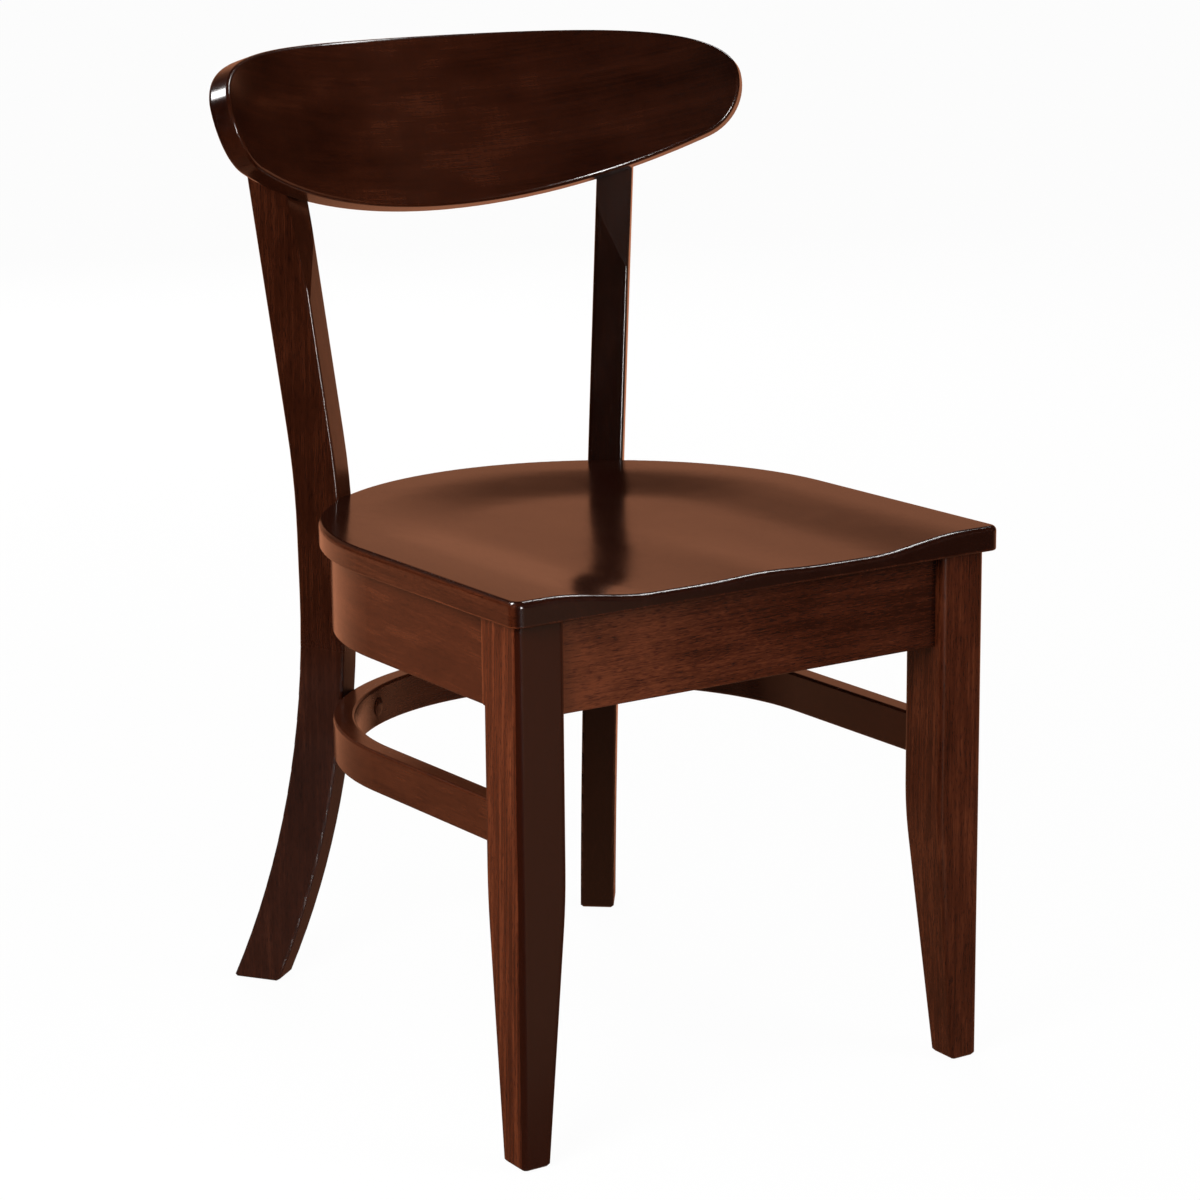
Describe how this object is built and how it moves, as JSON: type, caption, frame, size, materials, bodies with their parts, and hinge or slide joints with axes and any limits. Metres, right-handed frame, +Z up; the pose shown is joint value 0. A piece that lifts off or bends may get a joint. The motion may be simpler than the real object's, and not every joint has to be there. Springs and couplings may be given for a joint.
{
  "type": "side chair",
  "caption": "Wooden side chair with a wide oval bent back panel, a hollowed horseshoe seat, curved rear legs running up as posts, and a bent stretcher.",
  "frame": {"origin": "middle of the overall box in plan, on the floor under the glides", "axes": "+Z up, -Y to the front of the chair, +X to the right seen from the front"},
  "size_m": [0.5268, 0.538, 0.8182],
  "materials": {
    "seat_wood": "dark brown stain under satin lacquer",
    "panel_wood": "dark brown stain under satin lacquer",
    "leg_wood": "dark brown stain under satin lacquer",
    "rail_wood": "dark brown stain under satin lacquer",
    "bent_wood": "dark brown stain under satin lacquer",
    "block_wood": "plain sawn hardwood",
    "dowel_wood": "plain turned hardwood",
    "plug_wood": "dark brown stain under satin lacquer",
    "screw_steel": "zinc plated",
    "glide_nylon": "moulded nylon"
  },
  "bodies": {
    "root": {"seat": "seat_wood", "back_panel": "panel_wood", "rear_leg_left": "leg_wood", "rear_leg_right": "leg_wood", "front_leg_left": "leg_wood", "front_leg_right": "leg_wood", "front_rail": "rail_wood", "bent_apron": "bent_wood", "bent_stretcher": "bent_wood", "corner_block_left": "block_wood", "corner_block_right": "block_wood", "rear_seat_block": "block_wood", "rail_dowels": "dowel_wood", "apron_dowels": "dowel_wood", "stretcher_dowels": "dowel_wood", "stretcher_plugs": "plug_wood", "post_plugs": "plug_wood", "corner_block_screws": "screw_steel", "rear_block_screws": "screw_steel", "seat_screws": "screw_steel", "apron_screws": "screw_steel", "panel_screws": "screw_steel", "stretcher_bolts": "screw_steel", "glide_nails": "screw_steel", "glide_pads": "glide_nylon"}
  },
  "joints": []
}
